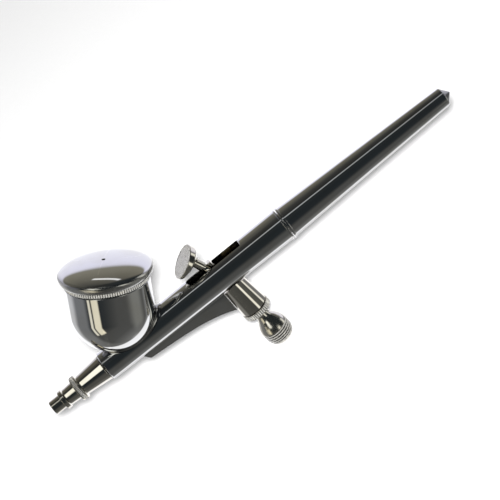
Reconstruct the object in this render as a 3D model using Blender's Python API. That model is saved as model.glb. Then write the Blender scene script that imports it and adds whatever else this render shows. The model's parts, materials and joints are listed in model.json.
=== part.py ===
"""A gravity-fed, double-action airbrush: body, paint cup, trigger, needle, air valve and handle.

+X runs along the needle towards the handle and +Z towards the cup and the trigger. The origin is
where the air valve's axis meets the needle's axis. Sizes below are in millimetres; place() turns the
finished shapes into metres. A turned piece is given as (radius, station) pairs, where the station is
the distance from the origin of its axis.
"""

import math

import bmesh
import bpy
from mathutils import Matrix, Vector

MM = 0.001
GAP = 0.3                       # clearance that touching or sliding pieces keep
MERGE = 1e-5                    # points closer than this are one point

# Body tube
BODY_FRONT = -47.8
BODY_REAR = 25.3
BODY_FRONT_RADIUS = 5.0
BODY_REAR_RADIUS = 5.6
BODY_RING_RADIUS = 5.85
REAR_THREAD_RADIUS = 4.4
REAR_THREAD_END = 31.0
CHAMBER_RADIUS = 3.9            # bore that the trigger and the needle guide work in
CHAMBER_FRONT = -12.0
PACKING_BORE = 2.6
PACKING_SHOULDER = -26.0
FLUID_BORE = 1.6
HEAD_SOCKET_RADIUS = 3.5
HEAD_SOCKET_END = -44.0
SLOT_FRONT = -11.0
SLOT_REAR = 10.1
SLOT_HALF_WIDTH = 2.3

# Front end
NEEDLE_CAP_TIP = -69.2
NEEDLE_CAP_SHOULDER = -65.25
NEEDLE_CAP_REAR = -63.85
AIR_CAP_KNURL_FRONT = -59.6
AIR_CAP_REAR = -57.6
AIR_CAP_KNURL_RADIUS = 4.4
AIR_SPIGOT_FRONT = -67.2
AIR_SPIGOT_RADIUS = 1.9
NOZZLE_TIP = -68.3
HEAD_FRONT_RADIUS = 3.45
HEAD_REAR_RADIUS = 4.4
HEAD_SPIGOT_FRONT = -59.6
HEAD_SPIGOT_RADIUS = 2.7

# Needle and the pieces that draw it back
NEEDLE_RADIUS = 0.6
NEEDLE_TIP = -68.9
NEEDLE_TAPER_END = -58.0
NEEDLE_TAIL = 62.0
NEEDLE_HOLE = NEEDLE_RADIUS + GAP
GUIDE_FRONT = 3.3
GUIDE_HEAD_REAR = 6.8
GUIDE_RADIUS = 3.6
GUIDE_TUBE_RADIUS = 1.5
GUIDE_REAR = 42.0
CASE_FRONT = 17.0
CASE_SHOULDER = 31.3
CASE_REAR = 35.0
CASE_WALL_START = 33.0
CASE_BORE = 2.75
CASE_KNOB_RADIUS = 4.1

# Handle
HANDLE_FRONT = BODY_REAR + GAP
HANDLE_RING_REAR = 26.3
HANDLE_FRONT_RADIUS = 5.5
HANDLE_REAR_RADIUS = 3.4
HANDLE_CONE_START = 90.6
HANDLE_TIP = 93.1

# Cup and lid, on an axis that leans back from +Z
CUP_LEAN = math.radians(28.5)
CUP_CROSSING = -41.86           # where the cup's axis meets the needle's axis
CUP_RADIUS = 13.5
CUP_WALL = 0.8
CUP_CENTRE = 16.47              # centre of the round bottom, along the cup's axis
CUP_RIM = 26.15
CUP_DRAIN_RADIUS = 2.0
LID_KNURL_RADIUS = 13.7
LID_KNURL_HEIGHT = 1.4
LID_RADIUS = 15.2
LID_WIDEST = 30.0
LID_CROWN = 33.8
LID_THICKNESS = 0.8
LID_SKIRT_RADIUS = 12.3
LID_SKIRT_WALL = 0.8
LID_SKIRT_BOTTOM = 23.6
VENT_RADIUS = 0.6

# Air valve, on an axis that leans back on its way down
VALVE_LEAN = math.radians(4.7)
PIVOT_STATION = 3.01            # the trigger's foot, on the valve's axis
CASING_TOP_RADIUS = 3.95
CASING_BOTTOM_RADIUS = 4.8
CASING_BOTTOM = 16.2
VALVE_HOLE = 2.6
PLUNGER_RADIUS = 2.2
PLUNGER_ROD = 1.2
GUIDE_SCREW_RADIUS = 4.95
GUIDE_SCREW_TOP = 16.5
GUIDE_SCREW_BOTTOM = 18.7
THREAD_RADIUS = 4.85            # G 1/8 male thread of the air inlet
THREAD_DEPTH = 0.45
THREAD_PITCH = 0.907
THREAD_TOP = 26.7
THREAD_TURNS = 5
FITTING_END = 32.0
INLET_BORE = 3.2

# Trigger
TRIGGER_LEAN = math.radians(22.0)
FOOT_RADIUS = 1.1
BLADE_HALF_WIDTH = 1.6
BLADE_HALF_DEPTH = 1.0
BLADE_TOP = 8.0
STEM_RADIUS = 1.25
COLLAR_RADIUS = 1.9
PIN_RADIUS = 0.7                # the pin that the pad is riveted on to
PAD_RADIUS = 5.65
PAD_THICKNESS = 1.7             # at the middle
PAD_WEDGE = math.radians(9.5)
PAD_OFFSET = -1.34              # the pad's middle is this far ahead of the stem
PAD_FACE = 16.83

FINE = 32                       # facets round the cup and the lid
MEDIUM = 28
SMALL = 20


def clear_scene():
    for old in list(bpy.data.objects):
        bpy.data.objects.remove(old, do_unlink=True)


def finish(name, colour, metallic, roughness):
    """A plain material for one kind of surface."""
    material = bpy.data.materials.new(name)
    material.use_nodes = True
    shader = material.node_tree.nodes["Principled BSDF"]
    shader.inputs["Base Color"].default_value = (*colour, 1.0)
    shader.inputs["Metallic"].default_value = metallic
    shader.inputs["Roughness"].default_value = roughness
    return material


def chrome(piece):
    return finish(piece + "_chrome", (0.62, 0.62, 0.61), 1.0, 0.08)


def nickel(piece):
    return finish(piece + "_nickel", (0.60, 0.57, 0.52), 1.0, 0.14)


def steel(piece):
    return finish(piece + "_steel", (0.55, 0.56, 0.57), 1.0, 0.22)


def brass(piece):
    return finish(piece + "_brass", (0.68, 0.50, 0.24), 1.0, 0.25)


def seal(piece):
    return finish(piece + "_seal", (0.80, 0.80, 0.76), 0.0, 0.5)


def rubber(piece):
    return finish(piece + "_rubber", (0.03, 0.03, 0.03), 0.0, 0.6)


def place(name, shape, material, lean=0.0, at=(0.0, 0.0, 0.0)):
    """Makes an object of a shape in millimetres. Its own +Z leans by an angle towards +X."""
    bmesh.ops.scale(shape, vec=(MM, MM, MM), verts=shape.verts)
    bmesh.ops.recalc_face_normals(shape, faces=shape.faces)
    mesh = bpy.data.meshes.new(name)
    shape.to_mesh(mesh)
    shape.free()
    mesh.shade_smooth()
    mesh.set_sharp_from_angle(angle=math.radians(35))
    if material:
        mesh.materials.append(material)
    piece = bpy.data.objects.new(name, mesh)
    piece.location = Vector(at) * MM
    piece.rotation_euler = (0.0, lean, 0.0)
    bpy.context.scene.collection.objects.link(piece)
    return piece


def turned(profile, facets, closed=True):
    """Spins (radius, station) pairs round +Z. An open profile starts and ends on the axis."""
    shape = bmesh.new()
    points = [shape.verts.new((radius, 0.0, station)) for radius, station in profile]
    edges = [shape.edges.new(pair) for pair in zip(points, points[1:])]
    if closed:
        edges.append(shape.edges.new((points[-1], points[0])))
    bmesh.ops.spin(
        shape, geom=points + edges, cent=(0, 0, 0), axis=(0, 0, 1),
        angle=math.tau, steps=facets, use_merge=True,
    )
    bmesh.ops.remove_doubles(shape, verts=shape.verts, dist=MERGE)
    return shape


def along_needle(name, profile, material, facets=SMALL, closed=True):
    return place(name, turned(profile, facets, closed), material, lean=math.pi / 2)


def along_cup(name, profile, material, facets=FINE, closed=True):
    shape = turned(profile, facets, closed)
    return place(name, shape, material, lean=CUP_LEAN, at=(CUP_CROSSING, 0, 0))


def along_valve(name, profile, material, facets=SMALL, closed=True):
    return place(name, turned(profile, facets, closed), material, lean=math.pi - VALVE_LEAN)


def block(low, high):
    """A box between two corners."""
    shape = bmesh.new()
    size = Vector(high) - Vector(low)
    middle = (Vector(high) + Vector(low)) / 2
    bmesh.ops.create_cube(shape, size=1.0, matrix=Matrix.Translation(middle) @ Matrix.Diagonal((*size, 1.0)))
    return shape


def rod(radius, half_length, facets, direction="Z", at=(0, 0, 0)):
    """A solid cylinder centred on a point and running along one axis."""
    turn = {
        "X": Matrix.Rotation(math.pi / 2, 4, "Y"),
        "Y": Matrix.Rotation(math.pi / 2, 4, "X"),
        "Z": Matrix.Identity(4),
    }[direction]
    shape = bmesh.new()
    bmesh.ops.create_cone(
        shape, cap_ends=True, segments=facets, radius1=radius, radius2=radius,
        depth=2 * half_length, matrix=Matrix.Translation(Vector(at)) @ turn,
    )
    return shape


def extruded(outline, half_width):
    """An (x, z) outline made into a plate that is centred on the XZ plane."""
    shape = bmesh.new()
    points = [shape.verts.new((x, -half_width, z)) for x, z in outline]
    face = shape.faces.new(points)
    grown = bmesh.ops.extrude_face_region(shape, geom=[face])
    moved = [item for item in grown["geom"] if isinstance(item, bmesh.types.BMVert)]
    bmesh.ops.translate(shape, verts=moved, vec=(0, 2 * half_width, 0))
    return shape


def combine(piece, helper, operation):
    """Cuts the helper from the piece, or joins it to the piece. The helper itself stays hidden."""
    helper.hide_render = True
    helper.display_type = "WIRE"
    modifier = piece.modifiers.new(helper.name, "BOOLEAN")
    modifier.operation = operation
    modifier.solver = "EXACT"
    modifier.object = helper


def cut(piece, helper):
    combine(piece, helper, "DIFFERENCE")


def join(piece, helper):
    combine(piece, helper, "UNION")


def arc(middle, radius_across, radius_along, start, stop, steps):
    """(radius, station) pairs on an ellipse round a station. Angles start at the rim."""
    pairs = []
    for step in range(steps + 1):
        angle = start + (stop - start) * step / steps
        pairs.append((radius_across * math.cos(angle), middle + radius_along * math.sin(angle)))
    return pairs


def body_radius(station):
    share = (station - BODY_FRONT) / (BODY_REAR - BODY_FRONT)
    return BODY_FRONT_RADIUS + share * (BODY_REAR_RADIUS - BODY_FRONT_RADIUS)


def valve_point(station):
    """The world point at a distance down the valve's axis."""
    return Vector((math.sin(VALVE_LEAN), 0.0, -math.cos(VALVE_LEAN))) * station


def coil(name, radius, wire, start, stop, turns, lean, material):
    """A compression spring along an axis through the origin."""
    points_per_turn = 10
    count = turns * points_per_turn
    first = start + wire
    rise = (stop - start - 2 * wire) / count
    curve = bpy.data.curves.new(name, "CURVE")
    curve.dimensions = "3D"
    curve.bevel_depth = wire * MM
    curve.bevel_resolution = 0
    curve.use_fill_caps = True
    spline = curve.splines.new("POLY")
    spline.points.add(count)
    for index, point in enumerate(spline.points):
        angle = math.tau * index / points_per_turn
        x, y, z = radius * math.cos(angle), radius * math.sin(angle), first + rise * index
        point.co = (x * MM, y * MM, z * MM, 1.0)
    curve.materials.append(material)
    spring = bpy.data.objects.new(name, curve)
    spring.rotation_euler = (0.0, lean, 0.0)
    bpy.context.scene.collection.objects.link(spring)
    return spring


def make_body():
    chamfer = 0.3
    ring_width = 0.6
    ring_front = BODY_REAR - ring_width
    body = along_needle("body_barrel", [
        (BODY_FRONT_RADIUS - chamfer, BODY_FRONT),
        (BODY_FRONT_RADIUS, BODY_FRONT + chamfer),
        (body_radius(ring_front), ring_front),
        (BODY_RING_RADIUS, ring_front + 0.1),
        (BODY_RING_RADIUS, BODY_REAR),
        (REAR_THREAD_RADIUS, BODY_REAR),
        (REAR_THREAD_RADIUS, REAR_THREAD_END),
        (CHAMBER_RADIUS, REAR_THREAD_END),
        (CHAMBER_RADIUS, CHAMBER_FRONT),
        (PACKING_BORE, CHAMBER_FRONT),
        (PACKING_BORE, PACKING_SHOULDER),
        (FLUID_BORE, PACKING_SHOULDER),
        (FLUID_BORE, HEAD_SOCKET_END),
        (HEAD_SOCKET_RADIUS, HEAD_SOCKET_END),
        (HEAD_SOCKET_RADIUS, BODY_FRONT),
    ], chrome("body"), MEDIUM)
    slot_top = BODY_RING_RADIUS + 1
    nose = SLOT_FRONT + SLOT_HALF_WIDTH
    slot = block((nose, -SLOT_HALF_WIDTH, 0), (SLOT_REAR, SLOT_HALF_WIDTH, slot_top))
    cut(body, place("slot_cutter", slot, None))
    slot_end = rod(SLOT_HALF_WIDTH, slot_top / 2, MEDIUM, at=(nose, 0, slot_top / 2))
    cut(body, place("slot_end_cutter", slot_end, None))
    seat_radius = CUP_RADIUS + GAP
    quarter = math.pi / 2
    seat = along_cup("cup_seat_cutter", arc(CUP_CENTRE, seat_radius, seat_radius, -quarter, quarter, 20),
                     None, closed=False)
    cut(body, seat)
    valve_hole = along_valve("valve_hole_cutter", [(0, 1.5), (VALVE_HOLE, 1.5), (VALVE_HOLE, 8), (0, 8)],
                             None, closed=False)
    cut(body, valve_hole)


def make_caps():
    """The needle cap, and the air cap that it screws on to."""
    crown = 2.5
    flange = 3.35
    crown_bore = AIR_SPIGOT_RADIUS + GAP
    mouth = 1.7
    mouth_rear = -67.5
    along_needle("needle_cap", [
        (crown, NEEDLE_CAP_TIP),
        (crown, NEEDLE_CAP_SHOULDER),
        (flange, NEEDLE_CAP_SHOULDER),
        (flange, NEEDLE_CAP_REAR),
        (crown_bore, NEEDLE_CAP_REAR),
        (crown_bore, mouth_rear),
        (mouth, mouth_rear),
        (mouth, NEEDLE_CAP_TIP),
    ], nickel("needle_cap"))

    cap_front = NEEDLE_CAP_REAR + GAP
    cone_front, cone_rear = 2.9, 3.2
    socket = HEAD_SPIGOT_RADIUS + GAP
    socket_end = HEAD_SPIGOT_FRONT - GAP
    air_chamber = 2.3
    along_needle("air_cap", [
        (0.85, AIR_SPIGOT_FRONT),
        (AIR_SPIGOT_RADIUS, AIR_SPIGOT_FRONT),
        (AIR_SPIGOT_RADIUS, cap_front),
        (cone_front, cap_front),
        (cone_rear, AIR_CAP_KNURL_FRONT),
        (AIR_CAP_KNURL_RADIUS, AIR_CAP_KNURL_FRONT),
        (AIR_CAP_KNURL_RADIUS, AIR_CAP_REAR),
        (socket, AIR_CAP_REAR),
        (socket, socket_end),
        (air_chamber, socket_end),
        (air_chamber, -62.4),
        (1.35, -63.4),
        (0.95, -66.4),
    ], nickel("air_cap"))


def make_front_end():
    cone_end = -62.0
    collar_front, collar_rear = -60.5, -59.9
    thread_end = -56.0
    body, collar, thread, bore = 1.2, 1.9, 1.4, 0.95
    along_needle("fluid_nozzle", [
        (0.26, NOZZLE_TIP),
        (0.4, NOZZLE_TIP),
        (body, cone_end),
        (body, collar_front),
        (collar, collar_front),
        (collar, collar_rear),
        (thread, collar_rear),
        (thread, thread_end),
        (bore, thread_end),
        (bore, cone_end + 1.0),
    ], brass("fluid_nozzle"))

    shoulder = BODY_FRONT - GAP
    neck = AIR_CAP_REAR + GAP
    rear_spigot = HEAD_SOCKET_RADIUS - GAP
    spigot_end = -45.2
    nozzle_socket = thread + GAP
    nozzle_socket_end = thread_end + GAP
    fluid_bore = 1.1
    along_needle("front_head", [
        (HEAD_SPIGOT_RADIUS, HEAD_SPIGOT_FRONT),
        (HEAD_SPIGOT_RADIUS, neck),
        (HEAD_FRONT_RADIUS, neck),
        (HEAD_REAR_RADIUS, shoulder),
        (rear_spigot, shoulder),
        (rear_spigot, spigot_end),
        (fluid_bore, spigot_end),
        (fluid_bore, nozzle_socket_end),
        (nozzle_socket, nozzle_socket_end),
        (nozzle_socket, HEAD_SPIGOT_FRONT),
    ], nickel("front_head"), MEDIUM)
    ring_front = spigot_end + GAP
    ring_rear = HEAD_SOCKET_END - GAP
    along_needle("head_seal_ring", [
        (FLUID_BORE, ring_front),
        (rear_spigot, ring_front),
        (rear_spigot, ring_rear),
        (FLUID_BORE, ring_rear),
    ], seal("head_seal_ring"))


def make_packing():
    outer = PACKING_BORE - GAP
    front = PACKING_SHOULDER + GAP
    middle = -23.2
    along_needle("needle_packing", [
        (NEEDLE_HOLE, front), (outer, front), (outer, middle), (NEEDLE_HOLE, middle),
    ], seal("needle_packing"))
    screw_rear = -15.0
    screw = along_needle("packing_screw", [
        (NEEDLE_HOLE, middle + GAP), (outer, middle + GAP), (outer, screw_rear), (NEEDLE_HOLE, screw_rear),
    ], brass("packing_screw"))
    kerf = block((screw_rear - 1.0, -0.4, -outer - 1), (screw_rear + 1, 0.4, outer + 1))
    cut(screw, place("packing_screw_slot_cutter", kerf, None))


def make_needle():
    along_needle("needle", [
        (0.0, NEEDLE_TIP),
        (NEEDLE_RADIUS, NEEDLE_TAPER_END),
        (NEEDLE_RADIUS, NEEDLE_TAIL - 0.3),
        (NEEDLE_RADIUS - 0.3, NEEDLE_TAIL),
        (0.0, NEEDLE_TAIL),
    ], steel("needle"), 16, closed=False)
    guide = along_needle("needle_chuck_guide", [
        (NEEDLE_HOLE, GUIDE_FRONT),
        (GUIDE_RADIUS, GUIDE_FRONT),
        (GUIDE_RADIUS, GUIDE_HEAD_REAR),
        (GUIDE_TUBE_RADIUS, GUIDE_HEAD_REAR),
        (GUIDE_TUBE_RADIUS, GUIDE_REAR),
        (NEEDLE_HOLE, GUIDE_REAR),
    ], brass("needle_chuck_guide"))
    collet_slit = block((GUIDE_REAR - 4, -0.25, -2), (GUIDE_REAR + 1, 0.25, 2))
    cut(guide, place("collet_slit_cutter", collet_slit, None))
    nut_radius = 2.9
    nut_front = 36.5
    nut_rear = 43.5
    along_needle("needle_chuck_nut", [
        (nut_radius, nut_front),
        (nut_radius, nut_rear),
        (NEEDLE_HOLE, nut_rear),
        (NEEDLE_HOLE, GUIDE_REAR + GAP),
        (GUIDE_TUBE_RADIUS + GAP, GUIDE_REAR + GAP),
        (GUIDE_TUBE_RADIUS + GAP, nut_front),
    ], brass("needle_chuck_nut"))
    along_needle("spring_case", [
        (CHAMBER_RADIUS - GAP, CASE_FRONT),
        (CHAMBER_RADIUS - GAP, CASE_SHOULDER),
        (CASE_KNOB_RADIUS, CASE_SHOULDER),
        (CASE_KNOB_RADIUS, CASE_REAR),
        (GUIDE_TUBE_RADIUS + GAP, CASE_REAR),
        (GUIDE_TUBE_RADIUS + GAP, CASE_WALL_START),
        (CASE_BORE, CASE_WALL_START),
        (CASE_BORE, CASE_FRONT),
    ], brass("spring_case"))
    coil("needle_spring", 2.15, 0.3, GUIDE_HEAD_REAR + GAP, CASE_WALL_START - GAP, 9,
         math.pi / 2, steel("needle_spring"))


def make_auxiliary_lever():
    bottom = -2.4
    top = 6.3
    half_depth = 0.58
    low_middle = 2.0
    high_middle = -1.17
    outline = [
        (low_middle - half_depth, bottom),
        (low_middle + half_depth, bottom),
        (high_middle + half_depth, top),
        (high_middle - half_depth, top),
    ]
    lever = place("auxiliary_lever", extruded(outline, 1.5), nickel("auxiliary_lever"))
    cut(lever, place("lever_hole_cutter", rod(NEEDLE_HOLE, 5, SMALL, "X"), None))


def make_handle():
    thread = REAR_THREAD_RADIUS + GAP
    thread_end = REAR_THREAD_END + 0.4
    knob_bore, knob_end = 4.4, 37.0
    nut_bore, nut_end = 3.6, 50.0
    needle_bore, needle_end = 1.6, 70.0
    along_needle("handle", [
        (0.0, HANDLE_TIP),
        (HANDLE_REAR_RADIUS, HANDLE_CONE_START),
        (HANDLE_FRONT_RADIUS, HANDLE_RING_REAR + 0.1),
        (BODY_RING_RADIUS, HANDLE_RING_REAR),
        (BODY_RING_RADIUS, HANDLE_FRONT),
        (thread, HANDLE_FRONT),
        (thread, thread_end),
        (knob_bore, thread_end),
        (knob_bore, knob_end),
        (nut_bore, knob_end),
        (nut_bore, nut_end),
        (needle_bore, nut_end),
        (needle_bore, needle_end),
        (0.0, needle_end),
    ], chrome("handle"), MEDIUM, closed=False)


def make_cup():
    inner = CUP_RADIUS - CUP_WALL
    outer_start = -math.acos(CUP_DRAIN_RADIUS / CUP_RADIUS)
    inner_start = -math.acos(CUP_DRAIN_RADIUS / inner)
    outside = arc(CUP_CENTRE, CUP_RADIUS, CUP_RADIUS, outer_start, 0.0, 6)
    inside = arc(CUP_CENTRE, inner, inner, 0.0, inner_start, 6)
    along_cup("paint_cup", outside + [(CUP_RADIUS, CUP_RIM), (inner, CUP_RIM)] + inside, chrome("paint_cup"))


def make_lid():
    seat = CUP_RIM + GAP
    knurl_top = seat + LID_KNURL_HEIGHT
    vent_angle = math.acos(VENT_RADIUS / LID_RADIUS)
    crown_height = LID_CROWN - LID_WIDEST
    flare = [
        (LID_KNURL_RADIUS + (LID_RADIUS - LID_KNURL_RADIUS) * math.sin(angle),
         LID_WIDEST - (LID_WIDEST - knurl_top) * math.cos(angle))
        for angle in (0.0, math.radians(30), math.radians(60))
    ]
    dome = arc(LID_WIDEST, LID_RADIUS, crown_height, 0.0, vent_angle, 5)
    inner_radius = LID_RADIUS - LID_THICKNESS
    inner_vent_angle = math.acos(VENT_RADIUS / inner_radius)
    hollow = arc(LID_WIDEST, inner_radius, crown_height - LID_THICKNESS, inner_vent_angle, 0.0, 5)
    skirt_inner = LID_SKIRT_RADIUS - LID_SKIRT_WALL
    along_cup("cup_lid", [(LID_KNURL_RADIUS, seat)] + flare + dome + hollow + [
        (12.9, 28.5),
        (skirt_inner, knurl_top - 0.3),
        (skirt_inner, LID_SKIRT_BOTTOM),
        (LID_SKIRT_RADIUS, LID_SKIRT_BOTTOM),
        (LID_SKIRT_RADIUS, seat),
    ], chrome("cup_lid"))


def make_valve():
    web_top = 7.9
    web_bottom = 8.6
    web_hole = PLUNGER_ROD + GAP
    chamber = 3.1
    casing_top = 3.0
    casing = along_valve("valve_casing", [
        (CASING_TOP_RADIUS, casing_top),
        (CASING_BOTTOM_RADIUS, CASING_BOTTOM),
        (chamber, CASING_BOTTOM),
        (chamber, web_bottom),
        (web_hole, web_bottom),
        (web_hole, web_top),
        (VALVE_HOLE, web_top),
        (VALVE_HOLE, casing_top),
    ], nickel("valve_casing"), MEDIUM)
    saddle = rod(body_radius(0) + GAP + 0.05, 8, 48, "X")
    cut(casing, place("casing_saddle_cutter", saddle, None))

    cup_bottom = 5.4
    head_radius = 2.4
    head_top = 10.9
    head_bottom = 11.7
    tail_radius = 1.1
    tail_end = 13.2
    plunger = along_valve("valve_plunger", [
        (0, PIVOT_STATION),
        (PLUNGER_RADIUS, PIVOT_STATION),
        (PLUNGER_RADIUS, cup_bottom),
        (PLUNGER_ROD, cup_bottom),
        (PLUNGER_ROD, head_top),
        (head_radius, head_top),
        (head_radius, head_bottom),
        (tail_radius, head_bottom),
        (tail_radius, tail_end),
        (0, tail_end),
    ], steel("valve_plunger"), closed=False)
    saddle_groove = rod(FOOT_RADIUS + GAP, 4, SMALL, "Y", at=valve_point(PIVOT_STATION))
    cut(plunger, place("plunger_groove_cutter", saddle_groove, None))

    packing_bottom = 9.7
    along_valve("plunger_packing", [
        (web_hole, web_bottom + GAP),
        (chamber - GAP, web_bottom + GAP),
        (chamber - GAP, packing_bottom),
        (web_hole, packing_bottom),
    ], seal("plunger_packing"))
    ring_radius, ring_station, ring_wire = 1.85, 10.3, 0.3
    ring_section = [
        (ring_radius + ring_wire * math.cos(angle), ring_station + ring_wire * math.sin(angle))
        for angle in (math.tau * step / 8 for step in range(8))
    ]
    along_valve("valve_oring", ring_section, rubber("valve_oring"))
    seat_top, seat_bottom = 16.4, 17.0
    coil("valve_spring", 1.7, 0.22, head_bottom + GAP, seat_top - GAP, 4, math.pi - VALVE_LEAN,
         steel("valve_spring"))
    thread_top = 14.2
    thread_bore, inlet_socket, inlet = 2.2, 2.4, 1.2
    along_valve("valve_guide_screw", [
        (chamber - GAP, thread_top),
        (chamber - GAP, GUIDE_SCREW_TOP),
        (GUIDE_SCREW_RADIUS, GUIDE_SCREW_TOP),
        (GUIDE_SCREW_RADIUS, GUIDE_SCREW_BOTTOM),
        (inlet_socket, GUIDE_SCREW_BOTTOM),
        (inlet_socket, seat_bottom),
        (inlet, seat_bottom),
        (inlet, seat_top),
        (thread_bore, seat_top),
        (thread_bore, thread_top),
    ], nickel("valve_guide_screw"), MEDIUM)


def make_air_fitting():
    neck_radius, neck_top = 2.1, 18.0
    washer_top, washer_bottom = 17.3, 17.7
    washer_bore = 1.3
    along_valve("fitting_seal_washer", [
        (washer_bore, washer_top),
        (neck_radius, washer_top),
        (neck_radius, washer_bottom),
        (washer_bore, washer_bottom),
    ], rubber("fitting_seal_washer"))
    root = THREAD_RADIUS - THREAD_DEPTH
    thread = []
    for turn in range(THREAD_TURNS):
        start = THREAD_TOP + turn * THREAD_PITCH
        thread.append((root, start))
        thread.append((THREAD_RADIUS, start + THREAD_PITCH / 2))
    air_bore = 1.2
    along_valve("air_fitting", [
        (neck_radius, neck_top),
        (neck_radius, 19.0),
        (2.3, 19.0),
        (2.35, 21.0),
        (2.8, 22.5),
        (3.5, 24.2),
        (4.3, 25.6),
        (4.7, 26.3),
        *thread,
        (4.0, FITTING_END),
        (INLET_BORE, FITTING_END),
        (INLET_BORE, 26.5),
        (air_bore, 23.5),
        (air_bore, neck_top),
    ], nickel("air_fitting"), MEDIUM)


def make_brace_fin():
    tip = -36.5
    nose = -34.9
    heel = -3.9
    half_width = 0.8
    depth_at_nose = 7.6
    steps = 10
    lower = []
    for step in range(steps + 1):
        share = step / steps
        depth = depth_at_nose + 2.6 * share + 3.1 * share ** 4
        lower.append((nose + share * (heel - nose), -depth))
    top_front = (tip, -body_radius(tip) - GAP)
    top_rear = (heel, -body_radius(heel) - GAP)
    place("brace_fin", extruded([top_front] + lower + [top_rear], half_width), chrome("brace_fin"))


def make_trigger():
    pivot = valve_point(PIVOT_STATION)
    lean = -TRIGGER_LEAN
    collar_bottom = 13.4
    pad_bottom = PAD_FACE - PAD_THICKNESS
    collar_top = pad_bottom - GAP
    spigot_top = collar_top + 0.9

    blade = block(
        (-BLADE_HALF_DEPTH, -BLADE_HALF_WIDTH, 0.0),
        (BLADE_HALF_DEPTH, BLADE_HALF_WIDTH, BLADE_TOP),
    )
    lever = place("trigger_lever", blade, nickel("trigger_lever"), lean, pivot)
    foot = place("trigger_foot", rod(FOOT_RADIUS, 1.75, SMALL, "Y"), None, lean, pivot)
    join(lever, foot)
    stem_bottom = BLADE_TOP - 1.0
    stem = turned([
        (0, stem_bottom),
        (STEM_RADIUS, stem_bottom),
        (STEM_RADIUS, collar_bottom),
        (COLLAR_RADIUS, collar_bottom + 0.3),
        (COLLAR_RADIUS, collar_top),
        (PIN_RADIUS, collar_top),
        (PIN_RADIUS, spigot_top),
        (0, spigot_top),
    ], SMALL, closed=False)
    join(lever, place("trigger_stem", stem, None, lean, pivot))
    slot_low, slot_high = 2.65, 6.0
    needle_slot = block((-3, -NEEDLE_HOLE, slot_low), (3, NEEDLE_HOLE, slot_high))
    cut(lever, place("needle_slot_cutter", needle_slot, None, lean, pivot))
    for index, height in enumerate((slot_low, slot_high)):
        slot_end = rod(NEEDLE_HOLE, 3, SMALL, "X", at=(0, 0, height))
        cut(lever, place(f"needle_slot_end_{index}_cutter", slot_end, None, lean, pivot))

    pad_shape = rod(PAD_RADIUS, PAD_THICKNESS / 2, FINE, at=(PAD_OFFSET, 0, pad_bottom + PAD_THICKNESS / 2))
    upper = [point for point in pad_shape.verts if point.co.z > pad_bottom + PAD_THICKNESS / 2]
    for point in upper:
        point.co.z += (point.co.x - PAD_OFFSET) * math.tan(PAD_WEDGE)
    pad = place("trigger_pad", pad_shape, nickel("trigger_pad"), lean, pivot)
    socket = rod(PIN_RADIUS + GAP, 1.0, SMALL, at=(0, 0, pad_bottom + 0.2))
    cut(pad, place("pad_socket_cutter", socket, None, lean, pivot))


clear_scene()
make_body()
make_caps()
make_front_end()
make_packing()
make_needle()
make_auxiliary_lever()
make_handle()
make_cup()
make_lid()
make_valve()
make_air_fitting()
make_brace_fin()
make_trigger()
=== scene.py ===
"""The finished looks of a gravity-fed, double-action airbrush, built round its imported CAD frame.

Sizes are in millimetres and repeat those of the CAD source, apart from the few that a comment names;
to_metres() turns finished shapes into metres. A turned piece is given as (radius, station) pairs along the
axis of its frame: the needle's, the cup's, the valve's or the trigger's.
"""

import json
import math

import bmesh
import bpy
import numpy as np
from mathutils import Matrix, Vector


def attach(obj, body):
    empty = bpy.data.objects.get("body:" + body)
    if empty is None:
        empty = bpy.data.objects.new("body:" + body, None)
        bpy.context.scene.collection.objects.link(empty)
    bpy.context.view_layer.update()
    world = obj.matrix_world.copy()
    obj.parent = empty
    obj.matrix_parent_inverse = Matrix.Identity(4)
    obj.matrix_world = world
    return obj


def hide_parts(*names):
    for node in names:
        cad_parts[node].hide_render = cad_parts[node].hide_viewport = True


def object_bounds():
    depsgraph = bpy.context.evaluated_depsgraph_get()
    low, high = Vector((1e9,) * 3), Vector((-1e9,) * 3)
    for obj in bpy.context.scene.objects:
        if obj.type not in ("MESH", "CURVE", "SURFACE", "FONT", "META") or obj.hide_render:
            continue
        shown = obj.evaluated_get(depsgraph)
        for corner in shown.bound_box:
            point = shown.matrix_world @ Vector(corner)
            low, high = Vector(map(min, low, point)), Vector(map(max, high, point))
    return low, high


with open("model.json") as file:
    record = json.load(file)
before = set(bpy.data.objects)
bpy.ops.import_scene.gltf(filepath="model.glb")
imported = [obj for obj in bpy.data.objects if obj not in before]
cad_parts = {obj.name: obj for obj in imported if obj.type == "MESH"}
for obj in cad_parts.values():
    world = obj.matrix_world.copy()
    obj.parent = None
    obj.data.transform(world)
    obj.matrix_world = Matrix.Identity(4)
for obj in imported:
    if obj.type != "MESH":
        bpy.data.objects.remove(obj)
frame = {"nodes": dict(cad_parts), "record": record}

CAD_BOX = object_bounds()
BODY_OF = {node: body for body, nodes in frame["record"]["behaviour"]["bodies"].items() for node in nodes}

MM = 0.001
GAP = 0.3                       # clearance that touching or sliding pieces keep
EDGE_ROUND = 0.07               # radius of an ordinary machined edge
FILLET_STEP = math.radians(15)  # turn of a rounded edge between two of its points
SHARP_ANGLE = math.radians(35)

# Body tube
BODY_FRONT = -47.8
BODY_REAR = 25.3
BODY_FRONT_RADIUS = 5.0
BODY_REAR_RADIUS = 5.6
BODY_RING_RADIUS = 5.85
BODY_RING_FRONT = 24.7
REAR_THREAD_RADIUS = 4.4
REAR_THREAD_END = 31.0
CHAMBER_RADIUS = 3.9
CHAMBER_FRONT = -12.0
PACKING_BORE = 2.6
PACKING_SHOULDER = -26.0
FLUID_BORE = 1.6
HEAD_SOCKET_RADIUS = 3.5
HEAD_SOCKET_END = -44.0
SLOT_FRONT = -11.0
SLOT_REAR = 10.1
SLOT_HALF_WIDTH = 2.3

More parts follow.
